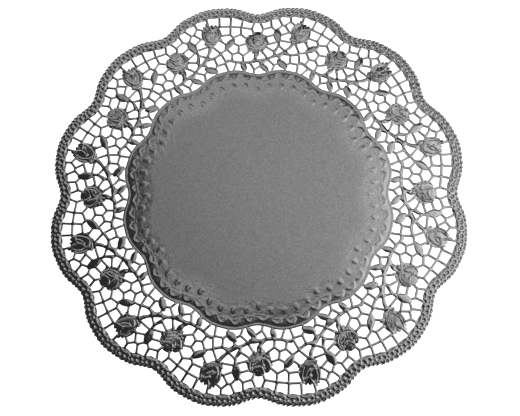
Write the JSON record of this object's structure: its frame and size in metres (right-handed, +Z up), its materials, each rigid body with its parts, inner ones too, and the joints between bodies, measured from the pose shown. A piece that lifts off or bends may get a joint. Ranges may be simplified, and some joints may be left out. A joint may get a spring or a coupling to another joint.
{
  "type": "paper doily",
  "caption": "Round silver foil-paper lace doily with a plain plate, a net of roses and leaves, and a scalloped rim, lying flat.",
  "frame": {"origin": "middle of the underside, on the surface that it lies on", "axes": "+Z up out of the printed face, +X through the valley between two scallops"},
  "size_m": [0.351, 0.351, 0.0024],
  "materials": {
    "foil_paper": "embossed metallised paper, satin with a fine grain"
  },
  "bodies": {
    "root": {"doily": "foil_paper"}
  },
  "joints": []
}
